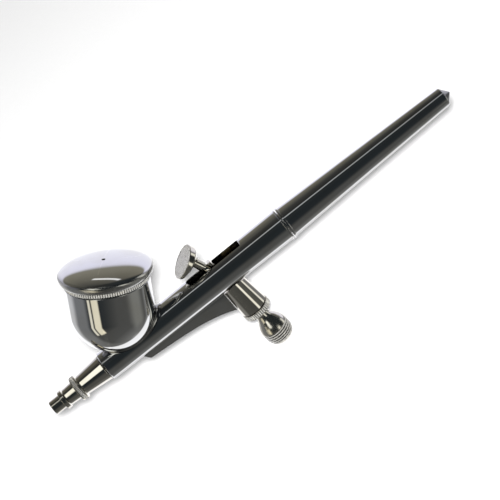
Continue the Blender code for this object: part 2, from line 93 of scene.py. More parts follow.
# Front end
NEEDLE_CAP_TIP = -69.2
NEEDLE_CAP_SHOULDER = -65.25
NEEDLE_CAP_REAR = -63.85
AIR_CAP_KNURL_FRONT = -59.6
AIR_CAP_REAR = -57.6
AIR_CAP_KNURL_RADIUS = 4.4
HEAD_FRONT_RADIUS = 3.45
HEAD_REAR_RADIUS = 4.4
NEEDLE_HOLE = 0.9

# Handle
HANDLE_FRONT = BODY_REAR + GAP
HANDLE_RING_REAR = 26.3
HANDLE_FRONT_RADIUS = 5.5
HANDLE_REAR_RADIUS = 3.4
HANDLE_CONE_START = 90.6
HANDLE_TIP = 93.1

# Cup and lid
CUP_LEAN = math.radians(28.5)
CUP_CROSSING = -41.86
CUP_RADIUS = 13.5
CUP_WALL = 0.8
CUP_CENTRE = 16.47
CUP_RIM = 26.15
CUP_DRAIN_RADIUS = 2.0
LID_KNURL_RADIUS = 13.7
LID_KNURL_HEIGHT = 1.4
LID_RADIUS = 15.2
LID_WIDEST = 30.0
LID_CROWN = 33.8
LID_CROWN_DROP = 0.2            # how much lower the finished dome is, to stay inside the CAD's box
LID_THICKNESS = 0.8
LID_SKIRT_RADIUS = 12.3
LID_SKIRT_WALL = 0.8
LID_SKIRT_BOTTOM = 23.6
VENT_RADIUS = 0.6

# Air valve
VALVE_LEAN = math.radians(4.7)
PIVOT_STATION = 3.01
CASING_TOP_RADIUS = 3.95
CASING_BOTTOM_RADIUS = 4.8
CASING_BOTTOM = 16.2
VALVE_HOLE = 2.6
GUIDE_SCREW_RADIUS = 4.95
GUIDE_SCREW_TOP = 16.5
GUIDE_SCREW_BOTTOM = 18.7
THREAD_RADIUS = 4.85
THREAD_DEPTH = 0.55             # the CAD's thread is a plain cylinder
THREAD_PITCH = 0.907
THREAD_TOP = 26.7
THREAD_BOTTOM = 31.4
FITTING_END = 32.0
INLET_BORE = 3.2

# Trigger. The upper stem, the collar and the pad are fuller than their CAD solids.
TRIGGER_LEAN = math.radians(22.0)
FOOT_RADIUS = 1.1
BLADE_HALF_WIDTH = 1.6
BLADE_HALF_DEPTH = 1.0
BLADE_TOP = 8.0
STEM_RADIUS = 1.25
UPPER_STEM_RADIUS = 1.62
UPPER_STEM_BOTTOM = 10.0
COLLAR_RADIUS = 2.2
COLLAR_BOTTOM = 13.0
PIN_RADIUS = 0.7
PAD_RADIUS = 5.65
PAD_THICKNESS = 2.25
PAD_WEDGE = math.radians(9.5)
PAD_OFFSET = -1.34
PAD_FACE = 16.83

# Brace fin
FIN_TIP = -36.5
FIN_NOSE = -34.9
FIN_HEEL = -3.9
FIN_HEEL_REACH = 0.24           # how much closer to the casing the finished plate ends
FIN_HALF_WIDTH = 0.8
FIN_NOSE_DEPTH = 7.6


# ---------------------------------------------------------------- frames of the turned pieces

def leaning_frame(lean, at=(0.0, 0.0, 0.0)):
    """The frame whose own +Z leans by an angle from world +Z towards +X."""
    return Matrix.Translation(at) @ Matrix.Rotation(lean, 4, "Y")


def valve_point(station):
    return Vector((math.sin(VALVE_LEAN), 0.0, -math.cos(VALVE_LEAN))) * station


NEEDLE_FRAME = leaning_frame(math.pi / 2)
CUP_FRAME = leaning_frame(CUP_LEAN, (CUP_CROSSING, 0.0, 0.0))
VALVE_FRAME = leaning_frame(math.pi - VALVE_LEAN)
TRIGGER_FRAME = leaning_frame(-TRIGGER_LEAN, valve_point(PIVOT_STATION))


# ---------------------------------------------------------------- node trees

def add_node(tree, kind, inputs=(), **settings):
    """A new shader node with its settings made and its inputs fed from a dictionary."""
    node = tree.nodes.new("ShaderNode" + kind)
    for key, value in settings.items():
        setattr(node, key, value)
    for key, value in dict(inputs).items():
        feed(tree, value, node.inputs[key])
    return node


def feed(tree, value, socket):
    """Links a Value or an output socket to an input socket, or sets the input to a plain number or colour."""
    if isinstance(value, Value):
        tree.links.new(value.socket, socket)
    elif isinstance(value, bpy.types.NodeSocket):
        tree.links.new(value, socket)
    else:
        socket.default_value = value


class Value:
    """A number in a node tree. Arithmetic on it adds Math nodes."""

    def __init__(self, tree, socket):
        self.tree = tree
        self.socket = socket

    def math(self, operation, *others):
        node = add_node(self.tree, "Math", enumerate((self, *others)), operation=operation)
        return Value(self.tree, node.outputs[0])

    def __add__(self, other):
        return self.math("ADD", other)

    def __mul__(self, other):
        return self.math("MULTIPLY", other)

    def inverted(self):
        """One minus this value."""
        return (self * -1.0) + 1.0

    def rise(self, middle, reach, low=0.0, high=1.0):
        """A smooth step from low to high, centred on a value of this one."""
        node = add_node(self.tree, "MapRange", {
            "From Min": middle - reach, "From Max": middle + reach, "To Min": low, "To Max": high,
            "Value": self,
        }, interpolation_type="SMOOTHSTEP")
        return Value(self.tree, node.outputs["Result"])

    def between(self, low, high, soft):
        """One inside a range and nought outside it, with soft ends."""
        return self.rise(low, soft) * self.rise(high, soft).inverted()


def mixed(tree, share, first, second, blend="MIX"):
    """A colour between two colours, or their sum where the blend is ADD."""
    node = add_node(tree, "Mix", data_type="RGBA", blend_type=blend)
    for key, value in (("Factor", share), ("A", first), ("B", second)):
        feed(tree, value, node.inputs[key])
    return node.outputs["Result"]


def ramp(tree, value, stops):
    """A colour read from (place, colour) stops, with places from 0 to 1."""
    node = add_node(tree, "ValToRGB", {"Fac": value})
    elements = node.color_ramp.elements
    while len(elements) < len(stops):
        elements.new(1.0)
    for element, (place, colour) in zip(elements, stops):
        element.position = place
        element.color = colour
    return node.outputs["Color"]


def dotted(tree, vector, direction):
    """The dot product of a vector socket and a fixed direction."""
    node = add_node(tree, "VectorMath", {0: vector, 1: direction}, operation="DOT_PRODUCT")
    return Value(tree, node.outputs["Value"])


# ---------------------------------------------------------------- materials

def surface_axis(tree, lean_frame):
    """The distance in millimetres along a turned piece's axis."""
    place = add_node(tree, "TexCoord")
    axis = lean_frame.to_3x3() @ Vector((0, 0, 1))
    return dotted(tree, place.outputs["Object"], axis / MM)


def noise(tree, per_mm, detail=2.0, stretch=(1.0, 1.0, 1.0)):
    """Noise with so many features in a millimetre. A stretch over one draws it out along that axis."""
    place = add_node(tree, "TexCoord")
    mapping = add_node(tree, "Mapping", {
        "Scale": [per_mm / MM / times for times in stretch], "Vector": place.outputs["Object"],
    })
    node = add_node(tree, "TexNoise", {"Scale": 1.0, "Detail": detail, "Vector": mapping.outputs["Vector"]})
    return Value(tree, node.outputs["Fac"])


def rings(tree, lean_frame, per_mm):
    """Noise that only changes along a turned piece's axis, like the marks of a lathe tool."""
    along = surface_axis(tree, lean_frame) * per_mm
    node = add_node(tree, "TexNoise", {"Scale": 1.0, "Detail": 3.0, "W": along}, noise_dimensions="1D")
    return Value(tree, node.outputs["Fac"])


def bumped(tree, height, distance_mm, below=None):
    node = add_node(tree, "Bump", {"Distance": distance_mm * MM, "Height": height})
    if below is not None:
        tree.links.new(below, node.inputs["Normal"])
    return node.outputs["Normal"]


def new_material(name):
    """An empty material, with its node tree and its shader."""
    material = bpy.data.materials.new(name)
    material.use_nodes = True
    tree = material.node_tree
    return material, tree, tree.nodes["Principled BSDF"]


def metal(name, colour, stain, polish, worn, turned=NEEDLE_FRAME, tool_marks=0.0002, haze=0.5, painted_underside_shade=0.0):
    """Plated or bare metal: cloudy colour, polish that varies, lathe marks, scratches and worn edges.

    polish is the least and the most roughness, and stain the colour of the cloudy places. underside is how
    much painted shade darkens the plating where it faces down, standing in for the shade under the piece.
    """
    material, tree, shader = new_material(name)
    shader.inputs["Metallic"].default_value = 1.0

    clouds = noise(tree, 0.16, 4.0).rise(0.55, 0.16)
    plated = mixed(tree, clouds * haze, (*colour, 1.0), (*stain, 1.0))
    geometry = add_node(tree, "NewGeometry")
    edges = Value(tree, geometry.outputs["Pointiness"]).rise(0.56, 0.04)
    edges = edges * noise(tree, 1.3, 3.0).rise(0.45, 0.2)
    if painted_underside_shade:
        # painted shade: faces that look down are darkened towards a dark copy of the stain colour
        painted_shade_below = dotted(tree, geometry.outputs["Normal"], (0.0, 0.0, -1.0)).rise(0.68, 0.14)
        plated = mixed(tree, painted_shade_below * painted_underside_shade, plated, tuple(0.3 * part for part in stain) + (1.0,))
    feed(tree, mixed(tree, edges * 0.6, plated, (*worn, 1.0)), shader.inputs["Base Color"])

    scratches = noise(tree, 2.2, 2.0, stretch=(14.0, 1.0, 1.0)).rise(0.66, 0.05)
    smears = noise(tree, 0.35, 5.0).rise(0.5, 0.25)
    low, high = polish
    spread = high - low
    rough = smears * (0.55 * spread) + scratches * (0.25 * spread) + edges * (0.2 * spread) + low
    feed(tree, rough, shader.inputs["Roughness"])

    waves = bumped(tree, noise(tree, 0.22, 1.0), 0.003)
    marks = bumped(tree, rings(tree, turned, 9.0), tool_marks, waves)
    grain = bumped(tree, noise(tree, 5.0, 3.0, stretch=(9.0, 1.0, 1.0)), 0.0002, marks)
    tree.links.new(grain, shader.inputs["Normal"])
    return material


CHROME = (0.63, 0.635, 0.64)
CHROME_STAIN = (0.57, 0.56, 0.53)
CHROME_WORN = (0.78, 0.77, 0.74)
NICKEL = (0.66, 0.64, 0.585)
NICKEL_STAIN = (0.58, 0.55, 0.48)
NICKEL_WORN = (0.80, 0.77, 0.70)
DULL_STAIN = (0.20, 0.20, 0.19)
DULL_WORN = (0.50, 0.50, 0.48)


def chrome(name, turned=NEEDLE_FRAME, polish=(0.025, 0.075), painted_underside_shade=0.0):
    return metal(name, CHROME, CHROME_STAIN, polish, CHROME_WORN, turned, painted_underside_shade=painted_underside_shade)


def nickel(name, turned=NEEDLE_FRAME, polish=(0.06, 0.15)):
    return metal(name, NICKEL, NICKEL_STAIN, polish, NICKEL_WORN, turned, tool_marks=0.0005)


def steel(name, turned=NEEDLE_FRAME):
    return metal(name, (0.56, 0.57, 0.58), (0.47, 0.47, 0.46), (0.12, 0.26), (0.72, 0.72, 0.72), turned,
                 tool_marks=0.001)


def brass(name, turned=NEEDLE_FRAME):
    return metal(name, (0.72, 0.53, 0.26), (0.48, 0.33, 0.15), (0.16, 0.34), (0.86, 0.72, 0.44), turned,
                 tool_marks=0.001, haze=0.8)


def bore(name, turned=NEEDLE_FRAME):
    """The unpolished inside of a plated piece."""
    return metal(name, (0.20, 0.20, 0.19), (0.10, 0.10, 0.09), (0.28, 0.5), DULL_WORN, turned,
                 tool_marks=0.002, haze=0.9)


def burnished(name, turned=NEEDLE_FRAME):
    """The crests of a knurl or a thread, dulled and brightened by handling."""
    material = metal(name, (0.60, 0.59, 0.56), (0.46, 0.44, 0.40), (0.22, 0.38), (0.85, 0.84, 0.80), turned,
                     tool_marks=0.001)
    material.node_tree.nodes["Principled BSDF"].inputs["Metallic"].default_value = 0.75
    return material


def soft_plastic(name, colour, shade, roughness, grain_mm):
    """A moulded seal: slightly mottled, with a fine grain."""
    material, tree, shader = new_material(name)
    mottle = noise(tree, 1.1, 4.0).rise(0.52, 0.2)
    feed(tree, mixed(tree, mottle * 0.7, (*colour, 1.0), (*shade, 1.0)), shader.inputs["Base Color"])
    feed(tree, noise(tree, 2.5, 3.0) * 0.2 + (roughness - 0.1), shader.inputs["Roughness"])
    feed(tree, bumped(tree, noise(tree, 6.0, 3.0), grain_mm), shader.inputs["Normal"])
    return material


def white_seal(name):
    return soft_plastic(name, (0.78, 0.77, 0.72), (0.62, 0.60, 0.54), 0.45, 0.004)


def black_rubber(name, roughness):
    return soft_plastic(name, (0.025, 0.025, 0.027), (0.05, 0.05, 0.05), roughness, 0.006)


# ---------------------------------------------------------------- mesh tools

def curve_points(middle, radius_across, radius_along, start, stop, steps, inward=False):
    """Points with exact outward normals on an ellipse round a station. Angles start at the rim."""
    side = -1.0 if inward else 1.0
    points = []
    for step in range(steps + 1):
        angle = start + (stop - start) * step / steps
        normal = Vector((math.cos(angle) / radius_across, math.sin(angle) / radius_along)).normalized() * side
        points.append((radius_across * math.cos(angle), middle + radius_along * math.sin(angle), *normal))
    return points


def arc(x, y, radius, start, turn, steps):
    """Points on an arc round (x, y), from a start angle and through a turn."""
    angles = [start + turn * step / steps for step in range(steps + 1)]
    return [(x + radius * math.cos(angle), y + radius * math.sin(angle)) for angle in angles]


def fillet(before, corner, after, radius):
    """Points and normals of a rounded corner. The outside is to the right of the direction of travel."""
    arriving = (corner - before).normalized()
    leaving = (after - corner).normalized()
    turn = math.atan2(arriving.x * leaving.y - arriving.y * leaving.x, arriving.dot(leaving))
    if radius == 0 or abs(turn) < math.radians(2):
        return [(corner, None)]
    half_turn = math.tan(abs(turn) / 2)
    reach = min(radius * half_turn, 0.45 * (corner - before).length, 0.45 * (after - corner).length)
    radius = reach / half_turn
    side = 1.0 if turn > 0 else -1.0
    first_normal = Vector((arriving.y, -arriving.x))
    centre = corner - arriving * reach - first_normal * radius * side
    steps = max(2, math.ceil(abs(turn) / FILLET_STEP))
    points = []
    for step in range(steps + 1):
        normal = Matrix.Rotation(turn * step / steps, 2) @ first_normal
        points.append((centre + normal * radius * side, normal))
    return points


def rounded(items, closed):
    """A profile's points and normals. An item is (radius, station), with an optional edge radius, or a
    point with its normal. A point whose normal is None keeps each side's own."""
    spots = [Vector(item[:2]) for item in items]
    area = sum(a.x * b.y - b.x * a.y for a, b in zip(spots, spots[1:] + spots[:1]))
    if area < 0:
        items = items[::-1]
        spots = spots[::-1]
    points = []
    last = len(items) - 1
    for index, item in enumerate(items):
        if len(item) == 4:
            points.append((spots[index], Vector(item[2:])))
        elif not closed and index in (0, last):
            points.append((spots[index], None))
        else:
            radius = item[2] if len(item) == 3 else EDGE_ROUND
            points += fillet(spots[index - 1], spots[index], spots[(index + 1) % len(spots)], radius)
    return points


def turned_mesh(name, items, place, facets, closed=True, relief=None):
    """Spins a profile round the axis of a frame, with exact normals.

    relief(radius, station, angle) may change the radius, as a knurl or a thread does. The faces deep in
    its grooves get the second material, and the crests between them the third.
    """
    points = rounded(items, closed)
    count = len(points)
    angles = np.arange(facets) * (math.tau / facets)
    radii = np.array([spot.x for spot, _ in points])
    stations = np.array([spot.y for spot, _ in points])
    grid = np.repeat(radii[:, None], facets, axis=1)
    if relief:
        grid = np.array([[relief(r, s, a) for a in angles] for r, s in zip(radii, stations)])
    cut = np.abs(grid - radii[:, None]).max(axis=1) > 1e-6
    turn = np.array(place.to_3x3())
    cosine, sine = np.cos(angles), np.sin(angles)
    height = np.repeat(stations[:, None], facets, axis=1)
    local = np.stack([grid * cosine, grid * sine, height], axis=-1).reshape(-1, 3)
    vertices = local @ turn.T + np.array(place.translation)

    def spun(normal):
        flat = np.stack([normal.x * cosine, normal.x * sine, np.full(facets, normal.y)], axis=-1)
        return flat @ turn.T

    faces = []
    normals = []
    for start in range(count if closed else count - 1):
        stop = (start + 1) % count
        along = (points[stop][0] - points[start][0]).normalized()
        own = Vector((along.y, -along.x))
        first = spun(points[start][1] or own)
        second = spun(points[stop][1] or own)
        if cut[start] or cut[stop]:
            first = second = np.zeros((facets, 3))
        for step in range(facets):
            after = (step + 1) % facets
            low, low_next = start * facets + step, start * facets + after
            high, high_next = stop * facets + step, stop * facets + after
            if radii[start] < 1e-9:
                faces.append((low, high_next, high))
                normals += [first[step], second[after], second[step]]
            elif radii[stop] < 1e-9:
                faces.append((low, low_next, high))
                normals += [first[step], first[after], second[step]]
            else:
                faces.append((low, low_next, high_next, high))
                normals += [first[step], first[after], second[after], second[step]]
    mesh = bpy.data.meshes.new(name)
    mesh.from_pydata(vertices.tolist(), [], faces)
    mesh.validate()
    smooth(mesh)
    mesh.normals_split_custom_set(np.array(normals).tolist())
    depths = (radii[:, None] - grid).reshape(-1)
    deepest = depths.max()
    if deepest > 0:
        in_cut_row = np.repeat(cut, facets)
        for polygon in mesh.polygons:
            corners = list(polygon.vertices)
            if depths[corners].mean() > 0.55 * deepest:
                polygon.material_index = 1
            elif in_cut_row[corners].all():
                polygon.material_index = 2
    if not closed:
        weld(mesh, keep_normals=True)
    return mesh


def smooth(mesh):
    mesh.shade_smooth()
    mesh.set_sharp_from_angle(angle=SHARP_ANGLE)


def weld(mesh, keep_normals=False):
    """Joins points that lie in the same place, such as those at a pole."""
    normals = None
    if keep_normals:
        normals = [tuple(corner.vector) for corner in mesh.corner_normals]
    shape = bmesh.new()
    shape.from_mesh(mesh)
    bmesh.ops.remove_doubles(shape, verts=shape.verts, dist=1e-5)
    shape.to_mesh(mesh)
    shape.free()
    if normals and len(normals) == len(mesh.loops):
        mesh.normals_split_custom_set(normals)


def plain_mesh(name, shape):
    """A bmesh in millimetres made into a mesh, with its faces pointing out."""
    bmesh.ops.recalc_face_normals(shape, faces=shape.faces)
    mesh = bpy.data.meshes.new(name)
    shape.to_mesh(mesh)
    shape.free()
    smooth(mesh)
    return mesh


def placed(name, data):
    """A new object in the scene."""
    thing = bpy.data.objects.new(name, data)
    bpy.context.scene.collection.objects.link(thing)
    return thing


def bevelled(shape, width, segments=3, angle=math.radians(30)):
    """Rounds the edges of a bmesh that are sharper than an angle."""
    bmesh.ops.recalc_face_normals(shape, faces=shape.faces)
    sharp = [edge for edge in shape.edges if edge.calc_face_angle(0.0) > angle]
    bmesh.ops.bevel(shape, geom=sharp, offset=width, segments=segments, profile=0.5, affect="EDGES",
                    clamp_overlap=True)
    return shape


def block(low, high):
    shape = bmesh.new()
    size = Vector(high) - Vector(low)
    middle = (Vector(high) + Vector(low)) / 2
    bmesh.ops.create_cube(shape, size=1.0, matrix=Matrix.Translation(middle) @ Matrix.Diagonal((*size, 1.0)))
    return shape


def rod(radius, half_length, facets, direction="Z", at=(0, 0, 0)):
    turn = {
        "X": Matrix.Rotation(math.pi / 2, 4, "Y"),
        "Y": Matrix.Rotation(math.pi / 2, 4, "X"),
        "Z": Matrix.Identity(4),
    }[direction]
    shape = bmesh.new()
    bmesh.ops.create_cone(
        shape, cap_ends=True, segments=facets, radius1=radius, radius2=radius,
        depth=2 * half_length, matrix=Matrix.Translation(Vector(at)) @ turn,
    )
    return shape


def extruded(outline, half_width):
    """An (x, z) outline made into a plate that is centred on the XZ plane."""
    shape = bmesh.new()
    points = [shape.verts.new((x, -half_width, z)) for x, z in outline]
    face = shape.faces.new(points)
    grown = bmesh.ops.extrude_face_region(shape, geom=[face])
    moved = [item for item in grown["geom"] if isinstance(item, bmesh.types.BMVert)]
    bmesh.ops.translate(shape, verts=moved, vec=(0, 2 * half_width, 0))
    return shape


def combined(mesh, helper, operation):
    """Cuts a helper mesh from a mesh, joins it on or keeps what both share. Both are in millimetres."""
    objects = [placed(data.name, data) for data in (mesh, helper)]
    modifier = objects[0].modifiers.new("combine", "BOOLEAN")
    modifier.operation = operation
    modifier.solver = "EXACT"
    modifier.object = objects[1]
    bpy.context.view_layer.update()
    evaluated = objects[0].evaluated_get(bpy.context.evaluated_depsgraph_get())
    result = bpy.data.meshes.new_from_object(evaluated)
    name = mesh.name
    for thing in objects:
        bpy.data.objects.remove(thing)
    for used in (mesh, helper):
        bpy.data.meshes.remove(used)
    result.name = name
    weld(result)
    smooth(result)
    return result


def tube_normals(mesh, place, radius_at, slope, low, high):
    """Gives the outside of a turned tube its exact normals again after it was cut."""
    back = place.inverted()
    turn = place.to_3x3()
    normals = []
    for polygon in mesh.polygons:
        for corner in polygon.loop_indices:
            point = back @ mesh.vertices[mesh.loops[corner].vertex_index].co
            across = Vector((point.x, point.y, 0.0))
            exact = Vector((0.0, 0.0, 0.0))
            if low <= point.z <= high and abs(across.length - radius_at(point.z)) < 0.02:
                normal = (turn @ (across.normalized() - Vector((0, 0, slope)))).normalized()
                if normal.dot(polygon.normal) > 0.95:
                    exact = normal
            normals.append(exact)
    mesh.normals_split_custom_set(normals)


def to_metres(mesh, lift=None):
    """Makes an object of a mesh in millimetres, after an optional move into its frame."""
    if lift is not None:
        mesh.transform(lift)
    mesh.transform(Matrix.Scale(MM, 4))
    return placed(mesh.name, mesh)


def install(mesh, nodes, *materials, lift=None):
    """Puts a finished piece in place of CAD nodes, on their body and with their material slot."""
    piece = to_metres(mesh, lift)
    for material in materials:
        piece.data.materials.append(material)
    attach(piece, BODY_OF[nodes[0]])
    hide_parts(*nodes)
    return piece


def add_to_body(mesh, material):
    """A detail of the body that has no CAD node of its own."""
    piece = to_metres(mesh)
    piece.data.materials.append(material)
    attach(piece, "body")


def rolled_arc(centre, first, second, size, steps, depth):
    """A fillet's section: the arc of a ball between the two ways in which it touches, and a point that is
    buried in the joint, depth ball radii away."""
    points = [centre + first.slerp(second, step / steps) * size for step in range(steps + 1)]
    points.append(centre + (first + second).normalized() * (size * depth))
    return points


def add_walls(shape, outlines):
    """Adds the faces between each outline of vertices and the next."""
    for outline, after in zip(outlines, outlines[1:]):
        for step in range(len(outline)):
            beyond = (step + 1) % len(outline)
            shape.faces.new((outline[step], outline[beyond], after[beyond], after[step]))


def skinned(name, sections, looped):
    """A solid through sections with equally many points, closed into a loop or capped at its ends."""
    shape = bmesh.new()
    outlines = [[shape.verts.new(point) for point in section] for section in sections]
    add_walls(shape, outlines + outlines[:1] if looped else outlines)
    if not looped:
        shape.faces.new(outlines[0])
        shape.faces.new(outlines[-1])
    return plain_mesh(name, shape)


def give_material(mesh, index, chosen):
    """Gives one of the materials to the faces that are chosen by their centre and normal."""
    for polygon in mesh.polygons:
        if chosen(polygon.center, polygon.normal):
            polygon.material_index = index


def dark_inside(mesh, place, reach):
    """Gives the second material to the faces that look at the axis of a frame from within a radius."""
    back = place.inverted()
    turn = back.to_3x3()

    def looks_in(centre, normal):
        local = back @ centre
        across = Vector((local.x, local.y, 0.0))
        return across.length < reach(local.z) and (turn @ normal).dot(across) <= 0.3 * across.length

    give_material(mesh, 1, looks_in)


def knurl(low, high, inner, teeth, depth):
    """The relief of straight knurling between two stations, where the piece is wider than inner."""
    def relief(radius, station, angle):
        if radius < inner or not low <= station <= high:
            return radius
        return radius - depth * (0.5 - 0.5 * math.cos(angle * teeth))
    return relief


def stepped(station, *steps):
    """Profile points of cylindrical steps from a station on. A step is its radius and where it ends."""
    points = []
    for radius, end in steps:
        points += [(radius, station), (radius, end)]
        station = end
    return points


def knurl_band(radius, low, high, run_out):
    """The profile points of a knurled band, whose teeth run out at both ends."""
    return [(radius, station, 0) for station in (low, low + run_out, high - run_out, high)]


# ---------------------------------------------------------------- body tube

def body_radius(station):
    share = (station - BODY_FRONT) / (BODY_REAR - BODY_FRONT)
    return BODY_FRONT_RADIUS + share * (BODY_REAR_RADIUS - BODY_FRONT_RADIUS)


def slot_outline():
    """(x, y) points round the trigger's slot, with a round nose and softly rounded rear corners."""
    corner = 0.6
    points = arc(SLOT_FRONT + SLOT_HALF_WIDTH, 0.0, SLOT_HALF_WIDTH, math.pi / 2, math.pi, 32)
    for side, start in ((-1, -math.pi / 2), (1, 0.0)):
        points += arc(SLOT_REAR - corner, side * (SLOT_HALF_WIDTH - corner), corner, start, math.pi / 2, 8)
    return points


def slot_cutter():
    """A plug with the slot's outline that widens near the tube's surface, which leaves a fine chamfer."""
    chamfer = 0.1
    flare = 1.6
    outline = [Vector(point) for point in slot_outline()]
    count = len(outline)
    lower, middle, upper = [], [], []
    for index, point in enumerate(outline):
        along = outline[(index + 1) % count] - outline[index - 1]
        outward = Vector((along.y, -along.x)).normalized()
        edge = math.sqrt((body_radius(point.x) - chamfer) ** 2 - point.y ** 2)
        lower.append((point.x, point.y, 0.0))
        middle.append((point.x, point.y, edge))
        upper.append((point.x + outward.x * flare, point.y + outward.y * flare, edge + flare))
    shape = bmesh.new()
    levels = [[shape.verts.new(place) for place in ring] for ring in (lower, middle, upper)]
    add_walls(shape, levels)
    for ring, height in ((levels[0], 0.0), (levels[2], 9.0)):
        hub = shape.verts.new((0.0, 0.0, height))
        for index in range(count):
            shape.faces.new((ring[index], ring[(index + 1) % count], hub))
    return plain_mesh("slot_cutter", shape)


def make_body():
    chamfer = 0.3
    tube = turned_mesh("body_tube", [
        (BODY_FRONT_RADIUS - chamfer, BODY_FRONT),
        (BODY_FRONT_RADIUS, BODY_FRONT + chamfer),
        (body_radius(BODY_RING_FRONT), BODY_RING_FRONT, 0.05),
        (BODY_RING_RADIUS, BODY_RING_FRONT + 0.1),
        (BODY_RING_RADIUS, BODY_REAR),
        *stepped(BODY_REAR, (REAR_THREAD_RADIUS, REAR_THREAD_END), (CHAMBER_RADIUS, CHAMBER_FRONT),
                 (PACKING_BORE, PACKING_SHOULDER), (FLUID_BORE, HEAD_SOCKET_END),
                 (HEAD_SOCKET_RADIUS, BODY_FRONT)),
    ], NEEDLE_FRAME, 256)
    seat_radius = CUP_RADIUS + GAP
    ball = curve_points(CUP_CENTRE, seat_radius, seat_radius, -math.pi / 2, math.pi / 2, 90)
    seat = turned_mesh("seat_cutter", ball, CUP_FRAME, 128, closed=False)
    valve_hole = turned_mesh("valve_hole_cutter", [
        (0, 1.5), (VALVE_HOLE, 1.5, 0), (VALVE_HOLE, 8, 0), (0, 8),
    ], VALVE_FRAME, 64, closed=False)
    for cutter in (slot_cutter(), seat, valve_hole):
        tube = combined(tube, cutter, "DIFFERENCE")
    slope = (BODY_REAR_RADIUS - BODY_FRONT_RADIUS) / (BODY_REAR - BODY_FRONT)
    tube_normals(tube, NEEDLE_FRAME, body_radius, slope, BODY_FRONT + chamfer - 0.1, BODY_RING_FRONT + 0.01)
    dark_inside(tube, NEEDLE_FRAME, lambda station: body_radius(station) - 0.15)
    # the tube's chrome gets painted shade where it faces down
    install(tube, ["body_barrel"], chrome("body_chrome", painted_underside_shade=0.9), bore("body_bore"))


def make_solder_fillet():
    """The silver-solder ring between the cup's round bottom and the tube: a ball of solder rolled along
    the joint touches both."""
    ball = CUP_FRAME @ Vector((0.0, 0.0, CUP_CENTRE))
    around = 160
    middle_size = 1.05
    rear_growth = 0.35
    sections = []
    for index in range(around):
        turn = math.tau * index / around
        size = middle_size + rear_growth * math.cos(turn)
        reach = CUP_RADIUS + size
        x = ball.x
        for _ in range(4):
            tube = body_radius(x) + size
            widest = math.acos((tube ** 2 + ball.z ** 2 - reach ** 2) / (2 * tube * ball.z))
            lean = widest * math.sin(turn)
            y = tube * math.sin(lean)
            z = tube * math.cos(lean)
            along = math.sqrt(max(0.0, reach ** 2 - y ** 2 - (z - ball.z) ** 2))
            x = ball.x + math.copysign(along, math.cos(turn))
        centre = Vector((x, y, z))
        to_cup = (ball - centre).normalized()
        to_tube = -Vector((0.0, y, z)).normalized()
        sections.append(rolled_arc(centre, to_cup, to_tube, size, steps=10, depth=1.9))
    solder = metal("solder_fillet_metal", (0.30, 0.30, 0.30), DULL_STAIN, (0.06, 0.16), DULL_WORN)
    add_to_body(skinned("cup_solder_fillet", sections, looped=True), solder)


def make_front_end():
    teeth = 56
    facets = 4 * teeth
    crown = 2.5
    flange = 3.35
    mouth = 1.7
    cap = turned_mesh("needle_cap_shell", [
        (crown, NEEDLE_CAP_TIP, 0.12),
        (crown, NEEDLE_CAP_SHOULDER),
        (flange, NEEDLE_CAP_SHOULDER, 0.15),
        (flange, NEEDLE_CAP_REAR, 0.15),
        *stepped(NEEDLE_CAP_REAR, (2.2, -67.5)),
        (mouth, -67.5),
        (mouth, NEEDLE_CAP_TIP, 0.12),
    ], NEEDLE_FRAME, facets)
    dark_inside(cap, NEEDLE_FRAME, lambda station: 2.3)
    install(cap, ["needle_cap"], nickel("needle_cap_nickel"), bore("needle_cap_bore"))

    spigot_front = -67.2
    knurl_low = AIR_CAP_KNURL_FRONT + 0.35
    knurl_high = AIR_CAP_REAR - 0.35
    air = turned_mesh("air_cap_shell", [
        (0.85, spigot_front),
        *stepped(spigot_front, (1.9, NEEDLE_CAP_REAR + GAP)),
        (2.9, NEEDLE_CAP_REAR + GAP, 0.15),
        (3.2, AIR_CAP_KNURL_FRONT, 0.05),
        (AIR_CAP_KNURL_RADIUS, AIR_CAP_KNURL_FRONT, 0.12),
        *knurl_band(AIR_CAP_KNURL_RADIUS, knurl_low, knurl_high, 0.12),
        (AIR_CAP_KNURL_RADIUS, AIR_CAP_REAR, 0.12),
        *stepped(AIR_CAP_REAR, (3.0, -59.9), (2.3, -62.4)),
        (1.35, -63.4),
        (0.95, -66.4),
    ], NEEDLE_FRAME, facets, relief=knurl(knurl_low + 0.1, knurl_high - 0.1, 4.0, teeth, 0.32))
    install(air, ["air_cap"], nickel("air_cap_nickel", polish=(0.04, 0.11)), bore("air_cap_grooves"),
            burnished("air_cap_crests"))

    shoulder = BODY_FRONT - GAP
    spigot = HEAD_SOCKET_RADIUS - GAP
    head = turned_mesh("front_head_shell", [
        *stepped(-59.6, (2.7, AIR_CAP_REAR + GAP)),
        (HEAD_FRONT_RADIUS, AIR_CAP_REAR + GAP, 0.15),
        (HEAD_REAR_RADIUS, shoulder, 0.2),
        *stepped(shoulder, (spigot, -45.2), (1.1, -55.7), (1.7, -59.6)),
    ], NEEDLE_FRAME, 256)
    install(head, ["front_head"], nickel("front_head_nickel", polish=(0.04, 0.10)))


def make_handle():
    handle = turned_mesh("handle_shell", [
        (0.0, HANDLE_TIP),
        (0.25, HANDLE_TIP - 0.12, 0.1),
        (HANDLE_REAR_RADIUS, HANDLE_CONE_START, 0.25),
        (HANDLE_FRONT_RADIUS, HANDLE_RING_REAR + 0.1, 0.05),
        *stepped(HANDLE_RING_REAR, (BODY_RING_RADIUS, HANDLE_FRONT),
                 (REAR_THREAD_RADIUS + GAP, REAR_THREAD_END + 0.4),
                 (REAR_THREAD_RADIUS, 37.0), (3.6, 50.0), (1.6, 70.0)),
        (0.0, 70.0),
    ], NEEDLE_FRAME, 256, closed=False)
    give_material(handle, 1, lambda centre, normal: centre.x > HANDLE_CONE_START + 0.1)
    tip = metal("handle_tip_satin", (0.26, 0.26, 0.26), DULL_STAIN, (0.12, 0.24), DULL_WORN)
    # the handle's chrome gets painted shade where it faces down
    install(handle, ["handle"], chrome("handle_chrome", painted_underside_shade=0.9), tip)


# ---------------------------------------------------------------- cup and lid

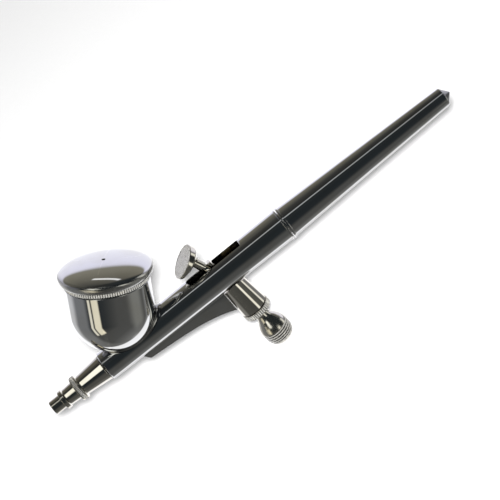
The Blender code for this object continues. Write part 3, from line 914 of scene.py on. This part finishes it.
def make_cup():
    inner = CUP_RADIUS - CUP_WALL
    outer_start = -math.acos(CUP_DRAIN_RADIUS / CUP_RADIUS)
    inner_start = -math.acos(CUP_DRAIN_RADIUS / inner)
    outside = curve_points(CUP_CENTRE, CUP_RADIUS, CUP_RADIUS, outer_start, 0.0, 48)
    inside = curve_points(CUP_CENTRE, inner, inner, 0.0, inner_start, 48, inward=True)
    cup = turned_mesh("cup_shell", outside + [(CUP_RADIUS, CUP_RIM, 0.2), (inner, CUP_RIM, 0.2)] + inside,
                      CUP_FRAME, 288)
    install(cup, ["paint_cup"], chrome("cup_chrome", CUP_FRAME))


def make_lid():
    seat = CUP_RIM + GAP
    knurl_top = seat + LID_KNURL_HEIGHT
    teeth = 110
    crown_height = LID_CROWN - LID_WIDEST - LID_CROWN_DROP
    vent_edge = VENT_RADIUS + 0.15
    dome = curve_points(LID_WIDEST, LID_RADIUS, crown_height, 0.0, math.acos(vent_edge / LID_RADIUS), 80)
    flare_depth = LID_WIDEST - knurl_top
    lip = LID_RADIUS - LID_KNURL_RADIUS
    flare = []
    for step in range(1, 16):
        angle = math.pi / 2 * step / 16
        out, down = lip * math.sin(angle), flare_depth * math.cos(angle)
        normal = Vector((flare_depth * math.sin(angle) + 0.3, -lip * math.cos(angle))).normalized()
        flare.append((LID_KNURL_RADIUS + out, LID_WIDEST - down, *normal))
    inner_radius = LID_RADIUS - LID_THICKNESS
    hollow = curve_points(LID_WIDEST, inner_radius, crown_height - LID_THICKNESS,
                          math.acos(vent_edge / inner_radius), 0.0, 32, inward=True)
    skirt_inner = LID_SKIRT_RADIUS - LID_SKIRT_WALL
    vent_top = dome[-1][1] - 0.05
    vent_bottom = hollow[0][1] + 0.05
    lid = turned_mesh("cup_lid_shell", [
        (LID_KNURL_RADIUS, seat, 0.1),
        (LID_KNURL_RADIUS, seat + 0.2, 0),
        (LID_KNURL_RADIUS, knurl_top - 0.12, 0),
        (LID_KNURL_RADIUS, knurl_top - 0.02, 0),
    ] + flare + dome + [
        *stepped(vent_top, (VENT_RADIUS, vent_bottom)),
    ] + hollow + [
        (12.9, 28.5),
        *stepped(knurl_top - 0.3, (skirt_inner, LID_SKIRT_BOTTOM), (LID_SKIRT_RADIUS, seat)),
    ], CUP_FRAME, 6 * teeth, relief=knurl(seat + 0.1, knurl_top - 0.05, 13.0, teeth, 0.32))
    down_the_cup = CUP_FRAME.inverted()

    def on_the_rim(centre, normal):
        local = down_the_cup @ centre
        outside = math.hypot(local.x, local.y) > LID_KNURL_RADIUS + 0.05
        return outside and knurl_top < local.z < LID_WIDEST + 0.8

    give_material(lid, 3, on_the_rim)
    rim = metal("lid_rim_satin", (0.50, 0.50, 0.49), (0.42, 0.41, 0.38), (0.20, 0.32), CHROME_WORN, CUP_FRAME)
    install(lid, ["cup_lid"], chrome("lid_chrome", CUP_FRAME), bore("lid_grooves", CUP_FRAME),
            burnished("lid_crests", CUP_FRAME), rim)


# ---------------------------------------------------------------- air valve

def make_casing():
    casing_top = 3.0
    web_top = 7.9
    web_bottom = 8.6
    web_hole = 1.5
    chamber = 3.1
    casing = turned_mesh("valve_casing_shell", [
        (CASING_TOP_RADIUS, casing_top, 0),
        (CASING_BOTTOM_RADIUS, CASING_BOTTOM, 0.18),
        *stepped(CASING_BOTTOM, (chamber, web_bottom), (web_hole, web_top)),
        (VALVE_HOLE, web_top),
        (VALVE_HOLE, casing_top, 0),
    ], VALVE_FRAME, 256)
    saddle = plain_mesh("saddle_cutter", rod(body_radius(0) + GAP + 0.05, 8, 192, "X"))
    casing = combined(casing, saddle, "DIFFERENCE")
    slope = (CASING_BOTTOM_RADIUS - CASING_TOP_RADIUS) / (CASING_BOTTOM - casing_top)
    tube_normals(casing, VALVE_FRAME, lambda station: CASING_TOP_RADIUS + (station - casing_top) * slope,
                 slope, casing_top, CASING_BOTTOM - 0.15)
    install(casing, ["valve_casing"], nickel("casing_nickel", VALVE_FRAME, (0.05, 0.12)))

    teeth = 40
    low = GUIDE_SCREW_TOP + 0.3
    high = GUIDE_SCREW_BOTTOM - 0.3
    screw = turned_mesh("valve_guide_screw_shell", [
        *stepped(14.2, (chamber - GAP, GUIDE_SCREW_TOP)),
        (GUIDE_SCREW_RADIUS - 0.25, GUIDE_SCREW_TOP, 0.1),
        *knurl_band(GUIDE_SCREW_RADIUS, low, high, 0.1),
        (GUIDE_SCREW_RADIUS - 0.3, GUIDE_SCREW_BOTTOM, 0.1),
        *stepped(GUIDE_SCREW_BOTTOM, (2.4, 17.0), (1.2, 16.4), (2.2, 14.2)),
    ], VALVE_FRAME, teeth * 6, relief=knurl(low - 0.01, high + 0.01, 4.6, teeth, 0.45))
    install(screw, ["valve_guide_screw"], nickel("guide_screw_nickel", VALVE_FRAME),
            bore("guide_screw_grooves", VALVE_FRAME), burnished("guide_screw_crests", VALVE_FRAME))


def thread_relief(radius, station, angle):
    """A right-hand helical groove with a flat crest, fading out at both ends."""
    if radius < 4.0 or not THREAD_TOP <= station <= THREAD_BOTTOM:
        return radius
    phase = ((station - THREAD_TOP) / THREAD_PITCH - angle / math.tau) % 1.0
    groove = min(1.0, max(0.0, 1.25 - abs(phase - 0.5) * 2 * 1.45))
    ends = min(1.0, (station - THREAD_TOP) / 0.35, (THREAD_BOTTOM - station) / 0.25)
    return radius - THREAD_DEPTH * groove * max(0.0, ends)


def make_air_fitting():
    steps = 84
    taper_start = 29.4
    thread = []
    for step in range(steps + 1):
        station = THREAD_TOP + (THREAD_BOTTOM - THREAD_TOP) * step / steps
        taper = 0.65 * max(0.0, (station - taper_start) / (THREAD_BOTTOM - taper_start)) ** 1.5
        thread.append((THREAD_RADIUS - taper, station, 0))
    bell = [
        (2.3, 19.0, 0.2),
        (2.36, 20.9, 3.0),
        (2.85, 22.2, 6.0),
        (3.65, 23.5, 6.0),
        (4.38, 24.8, 6.0),
        (4.76, 25.9, 6.0),
        (THREAD_RADIUS, THREAD_TOP - 0.15, 0.15),
    ]
    fitting = turned_mesh("air_fitting_shell", [
        *stepped(18.0, (2.1, 19.0)),
        *bell,
        *thread,
        (3.8, FITTING_END, 0.12),
        (INLET_BORE, FITTING_END, 0.12),
        (INLET_BORE, 26.5),
        (1.2, 23.5),
        (1.2, 18.0),
    ], VALVE_FRAME, 192, relief=thread_relief)
    dark_inside(fitting, VALVE_FRAME, lambda station: 3.4)
    install(fitting, ["air_fitting"], nickel("fitting_nickel", VALVE_FRAME, (0.14, 0.28)),
            bore("fitting_bore", VALVE_FRAME), burnished("fitting_crests", VALVE_FRAME))


# ---------------------------------------------------------------- brace fin

def fin_depth(station):
    """How far the fin's lower edge is below the axis: a straight slope that curls down at the heel."""
    share = (station - FIN_NOSE) / (FIN_HEEL - FIN_NOSE)
    return FIN_NOSE_DEPTH + 2.6 * share + 3.1 * share ** 4


def make_brace_fin():
    steps = 40
    heel = FIN_HEEL + FIN_HEEL_REACH
    stations = [FIN_NOSE + (heel - FIN_NOSE) * step / steps for step in range(steps + 1)]
    outline = [(FIN_TIP, -body_radius(FIN_TIP) - GAP)]
    outline += [(station, -fin_depth(station)) for station in stations]
    outline.append((heel, -body_radius(heel) - GAP))
    shape = bevelled(extruded(outline, FIN_HALF_WIDTH), 0.14, 3)
    install(plain_mesh("brace_fin_plate", shape), ["brace_fin"], chrome("fin_chrome", polish=(0.05, 0.12)))
    for side, name in ((-1, "fin_braze_right"), (1, "fin_braze_left")):
        make_braze(name, side)


def make_braze(name, side):
    """The brazed fillet along one side of the fin, left by a ball that rolls between fin and tube."""
    size = 0.75
    count = 60
    start_share = 0.35
    front = FIN_TIP + 0.6
    to_fin = Vector((0.0, -1.0, 0.0))
    sections = []
    for index in range(count + 1):
        x = front + (FIN_HEEL - front) * index / count
        ball = size * (start_share + (1 - start_share) * min(1.0, index / 6))
        y = FIN_HALF_WIDTH + ball
        centre = Vector((0.0, y, -math.sqrt((body_radius(x) + ball) ** 2 - y ** 2)))
        arc = rolled_arc(centre, to_fin, -centre.normalized(), ball, steps=8, depth=1.5)
        sections.append([(x, side * point.y, point.z) for point in arc])
    add_to_body(skinned(name, sections, looped=False), chrome(name + "_metal", polish=(0.05, 0.12)))


# ---------------------------------------------------------------- trigger and auxiliary lever

def make_trigger():
    collar_top = PAD_FACE - PAD_THICKNESS - GAP
    spigot_top = collar_top + 1.2
    blade = bevelled(block((-BLADE_HALF_DEPTH, -BLADE_HALF_WIDTH, 0.0),
                           (BLADE_HALF_DEPTH, BLADE_HALF_WIDTH, BLADE_TOP)), 0.2)
    lever = plain_mesh("trigger_stem", blade)
    foot = plain_mesh("trigger_foot", rod(FOOT_RADIUS, 1.75, 48, "Y"))
    stem = turned_mesh("trigger_rod", [
        (0, 7.0),
        (STEM_RADIUS, 7.0),
        (STEM_RADIUS, UPPER_STEM_BOTTOM, 0.1),
        (UPPER_STEM_RADIUS, UPPER_STEM_BOTTOM + 0.2, 0.12),
        (UPPER_STEM_RADIUS, COLLAR_BOTTOM, 0.12),
        (COLLAR_RADIUS, COLLAR_BOTTOM + 0.35, 0.15),
        (COLLAR_RADIUS, collar_top, 0.15),
        (PIN_RADIUS, collar_top),
        (PIN_RADIUS, spigot_top),
        (0, spigot_top),
    ], Matrix.Identity(4), 96, closed=False)
    for part in (foot, stem):
        lever = combined(lever, part, "UNION")
    slot_low, slot_high = 2.65, 6.0
    outline = arc(0.0, slot_high, NEEDLE_HOLE, 0.0, math.pi, 16)
    outline += arc(0.0, slot_low, NEEDLE_HOLE, math.pi, math.pi, 16)
    needle_slot = plain_mesh("needle_slot_cutter", extruded(outline, 3.0))
    needle_slot.transform(Matrix.Rotation(math.pi / 2, 4, "Z"))
    lever = combined(lever, needle_slot, "DIFFERENCE")
    plating = nickel("trigger_nickel", TRIGGER_FRAME, (0.06, 0.16))
    install(lever, ["trigger_lever"], plating, lift=TRIGGER_FRAME)


def make_pad():
    """A wedge-shaped finger pad with a fine square checker cut into its face."""
    pitch = 0.72
    depth = 0.16
    field_radius = 5.05
    bottom = PAD_FACE - PAD_THICKNESS
    disc = turned_mesh("trigger_pad_disc", [
        (0, bottom),
        (PAD_RADIUS - 1.05, bottom, 0.3),
        (PAD_RADIUS, bottom + 0.7, 0.35),
        (PAD_RADIUS, PAD_FACE, 0.2),
        (field_radius + 0.15, PAD_FACE, 0.05),
        (field_radius, PAD_FACE - depth, 0.05),
        (0, PAD_FACE - depth),
    ], Matrix.Identity(4), 160, closed=False)
    cells = math.ceil(field_radius / pitch) + 1
    checker = bmesh.new()
    reach = range(-cells, cells + 1)
    floor_height = PAD_FACE - 2 * depth
    valley = PAD_FACE - depth * 0.95
    corners = {(i, j): checker.verts.new((i * pitch, j * pitch, valley)) for i in reach for j in reach}
    sunk = {(i, j): checker.verts.new((i * pitch, j * pitch, floor_height)) for i in reach for j in reach}
    low = depth / pitch
    high = 1 - low
    for i in range(-cells, cells):
        for j in range(-cells, cells):
            square = [(i, j), (i + 1, j), (i + 1, j + 1), (i, j + 1)]
            tops = []
            for across, along in ((low, low), (high, low), (high, high), (low, high)):
                tops.append(checker.verts.new(((i + across) * pitch, (j + along) * pitch, PAD_FACE)))
            checker.faces.new(tops)
            for step in range(4):
                after = (step + 1) % 4
                checker.faces.new((corners[square[step]], corners[square[after]], tops[after], tops[step]))
            checker.faces.new([sunk[key] for key in reversed(square)])
    rim = [(k, -cells) for k in reach[:-1]] + [(cells, k) for k in reach[:-1]]
    rim += [(-k, cells) for k in reach[:-1]] + [(-cells, -k) for k in reach[:-1]]
    add_walls(checker, [[sunk[key] for key in rim], [corners[key] for key in rim]])
    checker_mesh = plain_mesh("pad_checker", checker)
    checker_mesh.transform(Matrix.Rotation(math.radians(45), 4, "Z"))
    edge = plain_mesh("pad_field", rod(field_radius - 0.02, 1.0, 96, at=(0, 0, PAD_FACE)))
    checker_mesh = combined(checker_mesh, edge, "INTERSECT")
    pad = combined(disc, checker_mesh, "UNION")

    def in_a_groove(centre, normal):
        inside = math.hypot(centre.x, centre.y) < field_radius and centre.z > PAD_FACE - 1.2 * depth
        return inside and 0.4 < normal.z < 0.95

    give_material(pad, 1, in_a_groove)
    for vertex in pad.vertices:
        height = (vertex.co.z - bottom) / PAD_THICKNESS
        vertex.co.z += max(0.0, height) * vertex.co.x * math.tan(PAD_WEDGE)
        vertex.co.x += PAD_OFFSET
    socket = plain_mesh("pad_socket_cutter", rod(PIN_RADIUS + GAP, 1.3, 48, at=(0, 0, bottom + 0.2)))
    pad = combined(pad, socket, "DIFFERENCE")
    pad.set_sharp_from_angle(angle=math.radians(22))
    install(pad, ["trigger_pad"], nickel("pad_nickel", TRIGGER_FRAME, (0.10, 0.22)),
            burnished("pad_grooves", TRIGGER_FRAME), lift=TRIGGER_FRAME)


def make_auxiliary_lever():
    bottom, top = -2.4, 6.3
    half_depth = 0.58
    low_middle, high_middle = 2.0, -1.17
    outline = [
        (low_middle - half_depth, bottom),
        (low_middle + half_depth, bottom),
        (high_middle + half_depth, top),
        (high_middle - half_depth, top),
    ]
    lever = plain_mesh("auxiliary_lever_plate", bevelled(extruded(outline, 1.5), 0.22, 4))
    lever = combined(lever, plain_mesh("lever_hole_cutter", rod(NEEDLE_HOLE, 5, 48, "X")), "DIFFERENCE")
    install(lever, ["auxiliary_lever"], nickel("auxiliary_nickel"))


# ---------------------------------------------------------------- pieces kept from the CAD

def dress_kept_nodes():
    """The inner pieces keep their CAD shape and get a material of their own."""
    looks = {
        "needle": steel("needle_steel"),
        "needle_spring": steel("needle_spring_steel"),
        "valve_spring": steel("valve_spring_steel", VALVE_FRAME),
        "valve_plunger": steel("plunger_steel", VALVE_FRAME),
        "fluid_nozzle": brass("nozzle_brass"),
        "packing_screw": brass("packing_screw_brass"),
        "needle_chuck_guide": brass("guide_brass"),
        "needle_chuck_nut": brass("chuck_nut_brass"),
        "spring_case": brass("spring_case_brass"),
        "head_seal_ring": white_seal("head_seal_white"),
        "needle_packing": white_seal("packing_white"),
        "plunger_packing": white_seal("plunger_white"),
        "valve_oring": black_rubber("oring_black", 0.5),
        "fitting_seal_washer": black_rubber("washer_black", 0.6),
    }
    for node, material in looks.items():
        piece = frame["nodes"][node]
        if not piece.material_slots:
            piece.data.materials.append(material)
        for slot in piece.material_slots:
            slot.material = material


# ---------------------------------------------------------------- studio

def shown(red, green, blue):
    """The light that, mirrored in chrome, is displayed as a colour given in levels from 0 to 255."""
    linear = []
    for level in (red, green, blue):
        share = level / 255
        plain = share / 12.92 if share <= 0.04045 else ((share + 0.055) / 1.055) ** 2.4
        linear.append(plain / CHROME[0])
    return (*linear, 1.0)


def ladder(rungs):
    """Ramp stops from (elevation in degrees, colour levels) pairs."""
    return [((elevation + 90) / 180, shown(*levels)) for elevation, levels in rungs]


def make_room():
    """A dark studio with a pale sweep behind the object, and bright windows that the metal mirrors.

    Azimuth is nought towards the camera's side and grows towards the handle.
    """
    world = bpy.data.worlds.new("studio")
    bpy.context.scene.world = world
    world.use_nodes = True
    tree = world.node_tree
    place = add_node(tree, "TexCoord")
    parts = add_node(tree, "SeparateXYZ", {0: place.outputs["Generated"]})
    x, y, z = (Value(tree, socket) for socket in parts.outputs)
    to_degrees = math.degrees(1.0)
    elevation = z.math("ARCSINE") * to_degrees
    azimuth = x.math("ARCTAN2", y * -1.0) * to_degrees
    height = (elevation + 90.0) * (1 / 180)

    front = ramp(tree, height, ladder([
        (-90, (150, 150, 148)),
        (-80, (108, 108, 106)),
        (-64, (90, 90, 88)),
        (-50, (74, 74, 72)),
        (-24, (70, 70, 68)),
        (-15, (56, 57, 56)),
        (-4, (34, 38, 40)),
        (24, (32, 36, 38)),
        (50, (38, 41, 42)),
        (76, (44, 44, 42)),
        (90, (56, 56, 54)),
    ]))
    turn_behind = (x * -1.0).math("ARCTAN2", y) * to_degrees
    tilted = (elevation + turn_behind * -0.31 + 84.0) * (1 / 180)
    back = ramp(tree, tilted, ladder([
        (-90, (150, 150, 148)),
        (-60, (205, 205, 204)),
        (-30, (232, 232, 233)),
        (-4, (228, 228, 235)),
        (22, (214, 213, 228)),
        (25, (206, 205, 218)),
        (29, (122, 119, 108)),
        (44, (104, 101, 91)),
        (62, (84, 82, 75)),
        (90, (56, 56, 54)),
    ]))
    low_corner = azimuth.rise(137, 10, 0.0, 0.86) * elevation.rise(-9, 4).inverted()
    high_corner = azimuth.rise(104, 9, 0.0, 0.86) * elevation.rise(-9, 4)
    handle_side = azimuth.rise(92, 8, 0.0, 0.14) + low_corner + high_corner
    nozzle_side = (azimuth.rise(-80, 8, 0.17, 0.0) + azimuth.rise(-121, 10, 0.38, 0.0)
                   + azimuth.rise(-165, 12, 0.45, 0.0))
    room = mixed(tree, handle_side + nozzle_side, front, back)
    table = (y + z * -1.0) * math.sqrt(0.5)
    room = mixed(tree, table.rise(0.71, 0.03), room, shown(238, 238, 240))

    windows = [
        # azimuths, elevations, softness, colour levels
        ((-42, -19), (20, 63), 3.0, (250, 249, 240)),
        ((-16, 34), (55.5, 60.5), 2.0, (176, 178, 178)),
        ((17, 33), (-33, 7), 3.0, (226, 224, 214)),
        ((77, 93), (-34, 10), 3.0, (212, 211, 204)),
        ((-64, -48), (-21, 16), 2.0, (214, 206, 182)),
        ((-74, -68), (-19, 16), 2.0, (214, 208, 190)),
        ((28, 72), (-62, -22), 14.0, (88, 88, 84)),
        ((112, 152), (44.5, 48), 1.2, (214, 214, 216)),
    ]
    for azimuths, elevations, soft, levels in windows:
        lit = azimuth.between(*azimuths, soft) * elevation.between(*elevations, soft)
        room = mixed(tree, lit, room, shown(*levels), blend="ADD")

    mirrored = tree.nodes["Background"]
    tree.links.new(room, mirrored.inputs["Color"])
    pale = add_node(tree, "Background", {"Color": (0.97, 0.97, 0.97, 1.0)})
    path = add_node(tree, "LightPath")
    either = add_node(tree, "MixShader", {
        "Fac": path.outputs["Is Camera Ray"],
        1: mirrored.outputs["Background"],
        2: pale.outputs["Background"],
    })
    tree.links.new(either.outputs["Shader"], tree.nodes["World Output"].inputs["Surface"])


def make_floor():
    """A wide sheet of matt white paper just under the air inlet."""
    height = CAD_BOX[0].z - 0.4 * MM
    half_width_metres = 6.0
    shape = bmesh.new()
    bmesh.ops.create_grid(shape, x_segments=8, y_segments=8, size=half_width_metres)
    bmesh.ops.translate(shape, verts=shape.verts, vec=(0, 0, height))
    mesh = bpy.data.meshes.new("floor")
    shape.to_mesh(mesh)
    shape.free()
    floor = placed("floor", mesh)
    material, tree, shader = new_material("floor_paper")
    fibres = noise(tree, 0.5, 4.0).rise(0.5, 0.3)
    paper = mixed(tree, fibres, (0.80, 0.80, 0.80, 1.0), (0.815, 0.815, 0.815, 1.0))
    feed(tree, paper, shader.inputs["Base Color"])
    shader.inputs["Roughness"].default_value = 0.9
    shader.inputs["Specular IOR Level"].default_value = 0.0
    mesh.materials.append(material)
    floor.visible_glossy = False


def add_lamp(name, kind, energy):
    """A light that metal doesn't mirror."""
    lamp = placed(name, bpy.data.lights.new(name, kind))
    lamp.data.energy = energy
    lamp.visible_glossy = False
    return lamp


def add_overhead():
    """A wide sheet of light above."""
    lamp = add_lamp("overhead_softbox", "SUN", 0.5)
    lamp.data.angle = math.radians(110.0)


def add_key(camera):
    """A small softbox beside the lens, so that shadows only show as a soft halo low on the right. It lights
    near and far paper alike."""
    lamp = add_lamp("key_softbox", "AREA", 7.4)
    lamp.data.shape = "DISK"
    lamp.data.size = 34.0 * MM
    lamp.data.use_nodes = True
    tree = lamp.data.node_tree
    even = add_node(tree, "LightFalloff", {"Strength": 3.7})
    tree.links.new(even.outputs["Constant"], tree.nodes["Emission"].inputs["Strength"])
    beside_the_lens = Vector((-9.0, 11.0, 6.0)) * MM
    lamp.matrix_world = camera.matrix_world @ Matrix.Translation(beside_the_lens)


def make_camera():
    """A long lens that looks down at the airbrush from its right side, with the handle rolled upwards."""
    elevation = math.radians(26.5)
    roll = math.radians(-38.6)
    distance = 460.0
    aim = Vector((11.6, 0.0, 0.3))
    back = Vector((0.0, -math.cos(elevation), math.sin(elevation)))
    level = Vector((1.0, 0.0, 0.0))
    lift = back.cross(level)
    right = level * math.cos(roll) + lift * math.sin(roll)
    up = lift * math.cos(roll) - level * math.sin(roll)
    data = bpy.data.cameras.new("camera")
    data.sensor_width = 36.0
    data.lens = 103.5
    data.clip_start = 0.01
    data.clip_end = 30.0
    camera = placed("camera", data)
    turn = Matrix((right, up, back)).transposed()
    camera.matrix_world = Matrix.Translation((aim + back * distance) * MM) @ turn.to_4x4()
    bpy.context.scene.camera = camera
    return camera


def make_studio():
    bpy.context.scene.view_settings.view_transform = "Standard"
    make_room()
    make_floor()
    add_key(make_camera())
    add_overhead()


make_body()
make_solder_fillet()
make_front_end()
make_handle()
make_cup()
make_lid()
make_casing()
make_air_fitting()
make_brace_fin()
make_trigger()
make_pad()
make_auxiliary_lever()
dress_kept_nodes()
make_studio()
